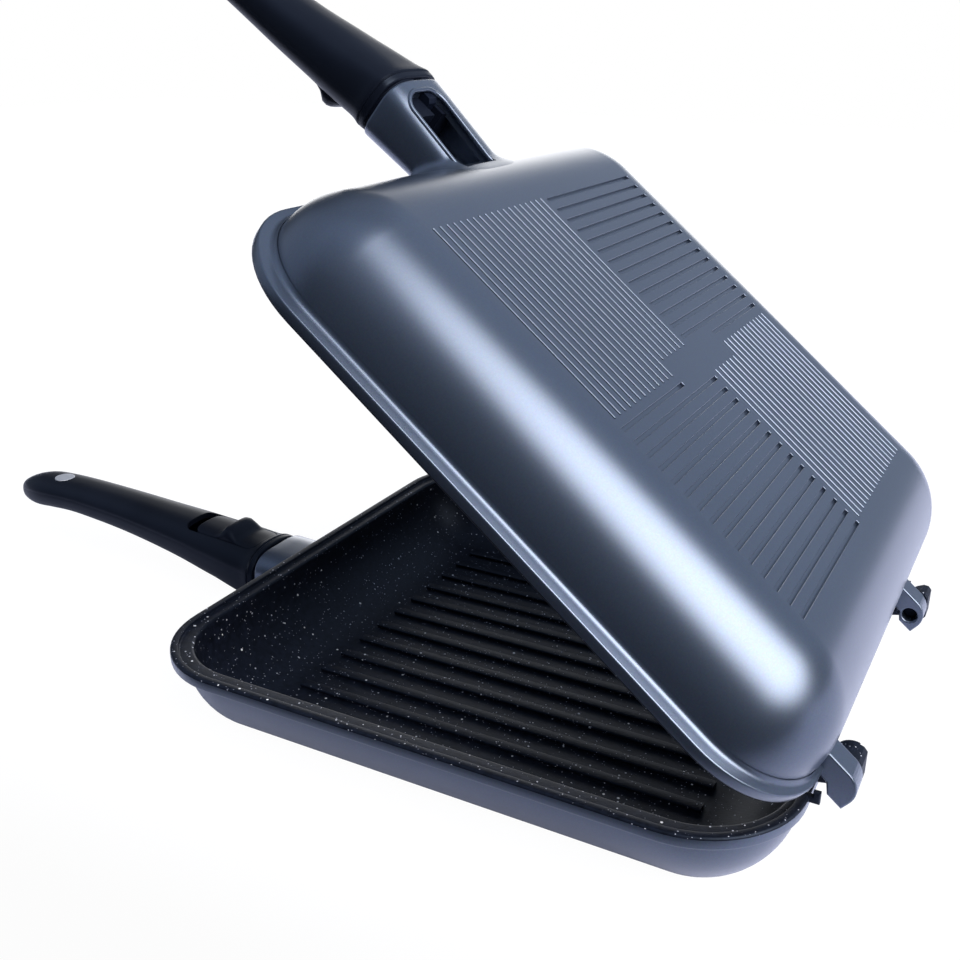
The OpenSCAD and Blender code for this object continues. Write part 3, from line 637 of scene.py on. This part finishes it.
def window_outline():
    """Window in the socket's side towards the base; it runs on into the pan's wall."""
    start, end, left, right_side, r = COLLAR_X + 4.6, COLLAR_X + 40.5, 15.6, -6.0, 7.0
    steps = 14
    straight = [start + r + (end - start - r) * i / steps for i in range(1, steps + 1)]
    return (arc(start + r, left - r, r, 90, 180, 12)
            + arc(start + r, right_side + r, r, 180, 270, 12)
            + [(x, right_side) for x in straight] + [(x, left) for x in reversed(straight)])


def bead(name, path, radius, place):
    """A round bead along a closed path, its lower part sunk in the metal."""
    sides, lift = 10, 0.35
    rings = []
    for i, point in enumerate(path):
        along = (Vector(path[(i + 1) % len(path)]) - Vector(path[i - 1])).normalized()
        side = along.cross(Vector((0, 0, 1))).normalized()
        rise = side.cross(along).normalized()
        rings.append([tuple(Vector(point) + rise * radius * lift
                            + (side * math.cos(a) + rise * math.sin(a)) * radius)
                      for a in (2 * math.pi * k / sides for k in range(sides))])
    rings.append(rings[0])
    points, faces = loft(rings, False)
    return mesh_object(name, points, faces, [PAINT], None, place)


def handle_socket(place, name):
    """The cast socket: a rounded tube that narrows and then flares into the wall, with a window."""
    def ring(x, section):
        return [(x, y, z) for y, z in section]

    rings = [ring(COLLAR_X + ahead, socket_outside(COLLAR_X + ahead, -back))
             for back, ahead in ((0.9, 0.0), (0.35, 0.12), (0.1, 0.4), (0.0, 0.95))]
    first, last = rings[-1], ring_at_wall(FLARE_R + 1, socket_outside)
    for share in (0.25, 0.5, 0.75, 1.0):
        rings.append([tuple(a + (b - a) * share for a, b in zip(p, q))
                      for p, q in zip(first, last)])
    for ahead in (4.6, 3.4, 2.3, 1.4, 0.7, 0.2):
        rings.append(ring_at_wall(ahead, socket_outside,
                                  FLARE_R - math.sqrt(FLARE_R ** 2 - (FLARE_R - ahead) ** 2)))
    rings.append(ring_at_wall(-SUNK, socket_outside, FLARE_R))
    rings.append(ring_at_wall(-SUNK, socket_inside))
    rings += [ring(COLLAR_X + ahead, socket_mouth(grow))
              for grow, ahead in ((0.0, 1.2), (0.3, 0.3), (0.9, 0.0))]
    rings.append(rings[0])
    points, faces = loft(rings, False)
    tube = mesh_object(name, points, faces, [PAINT], None, place)
    outline = window_outline()
    cut(tube, prism(name + "_window", outline, -8.0, SOCKET_Z, PAINT, place))
    lip = bead(name + "_lip", [(x, y, socket_floor(x, y)) for x, y in outline], LIP_R, place)
    return [tube, lip]


# ---------------------------------------------------------------- hinge, drawn about its axis
HOOK_W, NEAR_Y, FAR_Y, PIN_R = 9.8, -80.0, 46.6, 2.75
HOOK_IN = AXIS_OUT + LEDGE_X + 1
LUG_W = HOOK_W - 0.4
NEAR_LUG_Y, FAR_LUG_Y = NEAR_Y + HOOK_W + 0.3, FAR_Y + HOOK_W + 0.3
RIM_TOP = -AXIS_UP - RIM_GAP / 2    # top of the lower rim
LUG_IN = -AXIS_OUT + LID_OVER + 0.5
LUG_LOW = RIM_TOP - BAND_H + 0.4    # just above the ledge
EAR_W = 2.4


def hinge_plate(name, outline, holes, y, width, material, place, edge=0.7):
    """A plate across the hinge, drawn in x and z about the axis, from y to y + width."""
    stand = place @ Matrix.Translation((AXIS_X, y, AXIS_Z)) @ Matrix.Rotation(math.pi / 2, 4, "X")
    return flat_shape(name, [outline] + holes, width, edge, material, stand)


def hook_outline():
    nose, out, top, low = 7.4, 5.4, 6.2, 4.8
    return ([(-HOOK_IN, -1.9), (-3.9, -1.9), (-0.7, -low), (out, -low)]
            + arc(out - nose, top - nose, nose, 0, 90, 10) + [(-HOOK_IN, top)])


def near_lug_outline():
    return ([(-HOOK_IN, LUG_LOW), (-0.5, -5.6), (3.4, -5.2), (4.4, -4.2), (4.4, 3.4), (3.2, 4.8),
             (1.6, 5.4)] + arc(0, 0, 6.1, 72, 144, 8)
            + [(LUG_IN, RIM_TOP + 1.3), (LUG_IN, RIM_TOP + 0.02), (-HOOK_IN, RIM_TOP + 0.02)])


def far_lug_outline():
    return [(-HOOK_IN, LUG_LOW), (-1.5, -5.4), (4.2, -5.4), (5.0, -4.4), (5.0, 4.0), (3.8, 5.4),
            (2.0, 5.6), (-0.4, 4.5), (-4.0, 2.0), (-4.6, -0.6), (LUG_IN, RIM_TOP + 0.8),
            (LUG_IN, RIM_TOP + 0.02), (-HOOK_IN, RIM_TOP + 0.02)]


def ears(place):
    """Two small ears on the lower rim that keep the lid from sliding."""
    side = [(-9.0, RIM_TOP - 2.4), (-4.8, RIM_TOP - 2.4), (-4.8, RIM_TOP + 1.7),
            (-7.1, RIM_TOP + 1.7), (-7.1, RIM_TOP - 0.05), (-9.0, RIM_TOP - 0.05)]
    return [hinge_plate("ear", side, [], y, EAR_W, STONE, place, 0.6)
            for y in (NEAR_Y - 2.6, -NEAR_Y + 1.2)]


# ---------------------------------------------------------------- handle
GRIP_LEN, SHELL_T, GRIP_START = 164.0, 2.6, COLLAR_X - 1.2
# distance from the grip's open end, middle height, half height, half width
STATIONS = [
    (0, 15.2, 13.4, 19.2), (4, 15.2, 13.8, 19.6), (7, 15.4, 13.1, 18.9), (20, 17.3, 12.5, 17.8),
    (34, 19.3, 11.5, 16.6), (50, 21.7, 10.3, 15.3), (68, 23.8, 9.2, 14.1), (88, 25.8, 8.4, 13.1),
    (108, 27.2, 7.8, 12.6), (124, 27.9, 7.5, 12.4), (138, 27.6, 7.6, 12.6), (148, 27.0, 7.8, 11.8),
    (156, 26.4, 6.6, 9.4), (161, 26.0, 4.6, 6.4), (GRIP_LEN, 25.8, 1.4, 2.0)]
SEAM = 8.67                         # degrees of the seam above the middle of the section
SEAM_INSET = (0.14, 0.03)           # rounding of each shell's edge at the seam
GRIP_SQUARE = 0.8                   # power of its oval section
TUCK = 0.03                         # keeps the drawn grip just inside the solid's height
LIP_EDGE = 0.8                      # rounding at the open end
RING_S, RING_HALF, RING_D = 3.0, 0.6, 0.45      # groove round the grip near its open end


def grip_at(s):
    """Middle height, half height and half width of the grip at a distance from its open end."""
    s = min(max(s, 0.0), GRIP_LEN)
    for k in range(len(STATIONS) - 1):
        if s <= STATIONS[k + 1][0]:
            break
    a = STATIONS[max(k - 1, 0)]
    b, c = STATIONS[k], STATIONS[k + 1]
    d = STATIONS[min(k + 2, len(STATIONS) - 1)]
    span = c[0] - b[0]
    u = (s - b[0]) / span
    result = []
    for j in (1, 2, 3):
        m1 = (c[j] - a[j]) / max(c[0] - a[0], 1e-6) * span
        m2 = (d[j] - b[j]) / max(d[0] - b[0], 1e-6) * span
        result.append((2 * u ** 3 - 3 * u ** 2 + 1) * b[j] + (u ** 3 - 2 * u ** 2 + u) * m1
                      + (-2 * u ** 3 + 3 * u ** 2) * c[j] + (u ** 3 - u ** 2) * m2)
    return result


def soft_step(a, b, v):
    """0 up to a, 1 from b on, and a smooth rise between."""
    u = min(max((v - a) / (b - a), 0), 1)
    return u * u * (3 - 2 * u)


def grip_point(s, degrees, inset):
    """Point on the grip; its underside is squarer near the socket."""
    mid, high, wide = grip_at(s)
    a = math.radians(degrees)
    power = GRIP_SQUARE - 0.22 * max(1 - s / 26, 0) * soft_step(0.0, 0.6, -math.sin(a))
    return (GRIP_START - s, max(wide - inset, 0.4) * powered(math.cos(a), power),
            mid + max(high - TUCK - inset, 0.4) * powered(math.sin(a), power))


def grip_top(x, y):
    """Height of the grip's surface over a place."""
    mid, high, wide = grip_at(GRIP_START - x)
    return mid + high * max(1 - (abs(y) / wide) ** (2 / GRIP_SQUARE), 0) ** (GRIP_SQUARE / 2)


def grip_shell(name, first, last, material, place, cutters):
    """One shell of the grip, between two angles round its section."""
    steps = 44
    stops = [0, 0.25, 0.6, 1.2, 2.0, 2.4, 2.7, 3.0, 3.3, 3.6] + [4 + 2 * i for i in range(71)]
    stops += [GRIP_LEN - rest for rest in (17, 14, 11, 8, 5.5, 3.5, 2, 1, 0.4, 0)]
    rings = []
    for s in stops:
        lead = 0.01
        if s < LIP_EDGE:
            lead = LIP_EDGE - math.sqrt(max(LIP_EDGE ** 2 - (LIP_EDGE - s) ** 2, 0))
        lead += RING_D * max(1 - abs(s - RING_S) / RING_HALF, 0)
        ring = []
        for i in range(steps + 1):
            a = first + (last - first) * i / steps
            edge = min(i, steps - i)
            ring.append(grip_point(s, a, lead + SEAM_INSET[edge] if edge < 2 else lead))
        for i in range(steps, -1, -1):
            a = first + (last - first) * i / steps
            ring.append(grip_point(s, a, max(SHELL_T, lead + 1)))
        rings.append(ring)
    points, faces = loft(rings)
    shell = mesh_object(name, points, faces, [material], None, place)
    for cutter in cutters:
        cut(shell, cutter)
    return shell


# ---------------------------------------------------------------- slider, magnet and screw hole
SLIDER_LEN, SLIDER_W, SLIDER_R, TRAVEL = 35.0, 21.0, 4.4, 4.0
SLOT_X, SLOT_LEN = COLLAR_X - 6.7, SLIDER_LEN + TRAVEL + 2.3
SLIDER_MID = SLOT_X - 0.3 - SLIDER_LEN / 2
THUMB_Z = 34.3                      # crest of the thumb ridge
THUMB_RISE, THUMB_FALL = (-7.0, 0.6), (1.6, 9.0)    # its two flanks, from the slider's middle
MAGNET_X, MAGNET_R, MAGNET_T, MAGNET_TOP = COLLAR_X - 137.0, 5.0, 2.9, RIM_Z - 0.1
SCREW_X, SCREW_HOLE_R = COLLAR_X - 112.0, 2.95


def slider_height(x, y):
    """Top of the slider: the grip's own curve, with a bold thumb ridge across it."""
    u = x - SLIDER_MID
    up = soft_step(*THUMB_RISE, u) ** 2.4
    down = 1 - soft_step(*THUMB_FALL, u)
    side = max(1 - (abs(y) / (SLIDER_W / 2 - 0.05)) ** 6, 0) ** 0.5
    crest = THUMB_Z - 0.006 * y * y
    return grip_top(x, y) - 0.1 + max(crest - grip_top(SLIDER_MID + 1, y), 0) * up * down * side


def release_slider(name, place):
    """The slider: its plate follows the grip, its thumb ridge is rounded."""
    def ring(share, inset, surface, drop):
        outline = rounded(SLIDER_LEN / 2 * share - inset, SLIDER_W / 2 * share - inset,
                          SLIDER_R * share - inset, 10, 10)
        return [(SLIDER_MID + x, y, surface(SLIDER_MID + x, y) - drop) for x, y in outline]

    rings = [ring(share, 0, slider_height, 0)
             for share in [0.04] + [i / 22 for i in range(2, 22)] + [0.975]]
    rings += [ring(1, inset, slider_height, drop)
              for inset, drop in ((0.15, 0.12), (0.0, 0.5), (0.0, 1.4))]
    # its underside follows the grip's curve too
    rings += [ring(share, 0, grip_top, 1.5) for share in (0.85, 0.6, 0.3, 0.04)]
    points, faces = loft(rings)
    return mesh_object(name, points, faces, [SLIDE], None, place)


def magnet(name, place):
    """Round plated magnet with a small rounded edge."""
    rings = [[(x, y, MAGNET_TOP - drop) for x, y in circle(MAGNET_X, 0, r, 48)]
             for r, drop in ((0.2, 0), (MAGNET_R - 0.5, 0), (MAGNET_R - 0.2, 0.06),
                             (MAGNET_R - 0.05, 0.2), (MAGNET_R, 0.5), (MAGNET_R, MAGNET_T),
                             (0.2, MAGNET_T))]
    points, faces = loft(rings)
    return mesh_object(name, points, faces, [NICKEL], None, place)


# ---------------------------------------------------------------- put the halves together
def dress(node, material):
    """Gives a piece that stays as constructed its finish."""
    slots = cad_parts[node].material_slots
    for slot in slots:
        slot.material = material
    if not slots:
        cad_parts[node].data.materials.append(material)


def build_half(side, place, over, ridges):
    """One half with its handle: side is lower or upper, over is how far its rim stands out."""
    body = "lower" if side == "lower" else "lid"
    parts = [dish(over, place, side + "_dish"), floor_ridges(ridges, place, side + "_ridges")]
    parts += handle_socket(place, side + "_socket")
    if side == "lower":
        parts += [hinge_plate("near_lug", near_lug_outline(), [], NEAR_LUG_Y, LUG_W, STONE, LOWER),
                  hinge_plate("far_lug", far_lug_outline(), [], FAR_LUG_Y, LUG_W, STONE, LOWER)]
        parts += ears(LOWER)
    else:
        bore = circle(0, 0, PIN_R + 0.05)
        parts += [hinge_plate("near_hook", hook_outline(), [], NEAR_Y, HOOK_W, PAINT, SWING),
                  hinge_plate("far_hook", hook_outline(), [bore], FAR_Y, HOOK_W, PAINT, SWING)]
    pan = merge(side + "_casting", parts)
    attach(pan, body)
    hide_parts(side + "_pan")

    slot = prism("slot", [(x + SLOT_X - SLOT_LEN / 2, y) for x, y in
                          rounded(SLOT_LEN / 2, SLIDER_W / 2 + 0.3, 4.6, 10, 2)],
                 SOCKET_Z, 50, GRIP, place)
    seat = prism("seat", circle(MAGNET_X, 0, MAGNET_R + 0.12, 48), MAGNET_TOP - 3, 50, GRIP, place)
    cover = grip_shell(side + "_cover", SEAM, 180 - SEAM, GRIP, place, (slot, seat))
    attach(cover, body)
    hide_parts(side + "_handle_cover")
    hole = prism("hole", circle(SCREW_X, 0, SCREW_HOLE_R), 0, 22, GRIP, place)
    base = grip_shell(side + "_base", 180 - SEAM, 360 + SEAM, GRIP, place, (hole,))
    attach(base, body)
    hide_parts(side + "_handle_base")

    slider = release_slider(side + "_thumb_slider", place)
    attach(slider, body + "_slider")
    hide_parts(side + "_release_slider")

    disc = magnet(side + "_magnet_disc", place)
    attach(disc, body)
    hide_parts(side + "_magnet")

    # the tang and the latch lever inside the socket get near black finishes: painted shade of the
    # socket's hollow
    for node, material in (("tang", INNER_PAINTED_SHADE), ("tang_screws", STEEL), ("slider_spring", WIRE),
                           ("latch_lever", DARK_STEEL), ("lever_pin", STEEL),
                           ("shell_screw", STEEL)):
        dress(side + "_" + node, material)


ridges_on_floor = ridge_tree()
build_half("lower", LOWER, 0.0, ridges_on_floor)
build_half("upper", UPPER, LID_OVER, ridges_on_floor)
for pin in ("hinge_pin_near", "hinge_pin_far"):
    dress(pin, DARK_STEEL)


# ---------------------------------------------------------------- floor and light, in metres
FLOOR_HALF, FLOOR_Z = 3.0, -0.0004
FRONT, NEAR = -0.2, -0.09           # between them the floor's colour is painted darker to the front: a painted shade that the metal reflects
# soft lights: (azimuth, height) they stand in, half angles of core and edge, strength
LAMPS = (((-14, 38), 4, 37, 7.4), ((116, 3), 6, 27, 2.2))
ROOM = (((70, 22), 8, 45, 0.36), ((60, 78), 10, 55, 0.3), ((-165, 28), 5, 45, 0.35),
        ((-100, 62), 5, 40, 0.25))
ROOM_LEVEL = 0.08


def stage_floor():
    """White table: the camera sees it white with a faint shadow. For other rays its colour is
    painted: lavender near the pan, a painted reflection colour, and darker to the front, a painted
    shade that the metal reflects.
    """
    mesh = bpy.data.meshes.new("floor")
    mesh.from_pydata([(x * FLOOR_HALF, y * FLOOR_HALF, FLOOR_Z) for x, y in
                      ((-1, -1), (1, -1), (1, 1), (-1, 1))], [], [(0, 1, 2, 3)])
    floor = in_scene("floor", mesh)
    material, tree, place = new_material("white_table")
    path = add(tree, "ShaderNodeLightPath")
    seen = add(tree, "ShaderNodeMath", {0: path.outputs["Is Camera Ray"], 1: 0.9},
               operation="MULTIPLY")
    depth = add(tree, "ShaderNodeSeparateXYZ", {"Vector": place}).outputs["Y"]
    # painted shade and reflection: the floor's colour is lavender near the pan and falls to near
    # black in front, so the pan's near walls reflect a dark room
    shade = add(tree, "ShaderNodeMapRange", {"Value": depth, "From Min": FRONT, "From Max": NEAR,
                                             "To Min": 0.03, "To Max": 0.9},
                interpolation_type="SMOOTHSTEP")
    painted_shade_colour = ramp(tree, shade.outputs["Result"], [(0.0, linear("#000000")),
                                                  (1.0, linear("#e9ebff"))])
    lit = add(tree, "ShaderNodeBsdfDiffuse", {"Color": painted_shade_colour})
    glow = add(tree, "ShaderNodeEmission", {"Color": linear("#ffffff"), "Strength": 1.08})
    mixed = add(tree, "ShaderNodeMixShader", {0: seen.outputs[0], 1: lit.outputs[0],
                                              2: glow.outputs[0]})
    finish_material(tree, mixed)
    mesh.materials.append(material)


def toward(azimuth, height):
    a, h = math.radians(azimuth), math.radians(height)
    return (math.cos(a) * math.cos(h), math.sin(a) * math.cos(h), math.sin(h))


def lobes(tree, look, lights, level):
    """Sum of soft round lights over an even level."""
    total = None
    for place, core, edge, strength in lights:
        near = add(tree, "ShaderNodeVectorMath", {0: look, 1: toward(*place)},
                   operation="DOT_PRODUCT")
        lobe = add(tree, "ShaderNodeMapRange",
                   {"Value": near.outputs["Value"], "From Min": math.cos(math.radians(edge)),
                    "From Max": math.cos(math.radians(core)), "To Min": 0.0, "To Max": strength},
                   interpolation_type="SMOOTHSTEP").outputs["Result"]
        total = lobe if total is None else add(tree, "ShaderNodeMath",
                                               {0: total, 1: lobe}).outputs[0]
    return add(tree, "ShaderNodeMath", {0: total, 1: level}).outputs[0]


def world_light():
    """The studio: dark round the camera, with broad soft lights; the camera sees it white."""
    world = bpy.data.worlds.new("studio")
    bpy.context.scene.world = world
    world.use_nodes = True
    tree = world.node_tree
    tree.nodes.clear()
    look = add(tree, "ShaderNodeTexCoord").outputs["Generated"]
    lamps = add(tree, "ShaderNodeBackground", {"Color": linear("#fffefd"),
                                               "Strength": lobes(tree, look, LAMPS, 0.0)})
    room = add(tree, "ShaderNodeBackground", {"Color": linear("#d0e2ff"),
                                              "Strength": lobes(tree, look, ROOM, ROOM_LEVEL)})
    soft = add(tree, "ShaderNodeAddShader", {0: lamps.outputs[0], 1: room.outputs[0]})
    white = add(tree, "ShaderNodeBackground", {"Color": linear("#ffffff"), "Strength": 1.0})
    path = add(tree, "ShaderNodeLightPath")
    mixed = add(tree, "ShaderNodeMixShader", {0: path.outputs["Is Camera Ray"], 1: soft.outputs[0],
                                              2: white.outputs[0]})
    add(tree, "ShaderNodeOutputWorld", {"Surface": mixed.outputs[0]})


stage_floor()
world_light()

# ---------------------------------------------------------------- camera
# where the photograph was taken from, found from the rims, the grooves and the handles
FOCAL_PX, PHOTO_PX, SENSOR = 1151.137, 960, 36
CAMERA_PLACE = (0.169905, -0.388097, 0.254027)
right = Vector((0.880748, 0.473547, 0.006004))
up = Vector((-0.178696, 0.320561, 0.930219))
back = right.cross(up).normalized()
up = back.cross(right).normalized()
turn = Matrix((right.normalized(), up, back)).transposed().to_4x4()

camera_data = bpy.data.cameras.new("camera")
camera_data.sensor_width, camera_data.sensor_fit = SENSOR, "HORIZONTAL"
camera_data.lens = FOCAL_PX * SENSOR / PHOTO_PX
camera_data.clip_start, camera_data.clip_end = 0.01, 50
camera = in_scene("camera", camera_data)
camera.matrix_world = Matrix.Translation(CAMERA_PLACE) @ turn
bpy.context.scene.camera = camera
bpy.context.scene.view_settings.view_transform = "Standard"
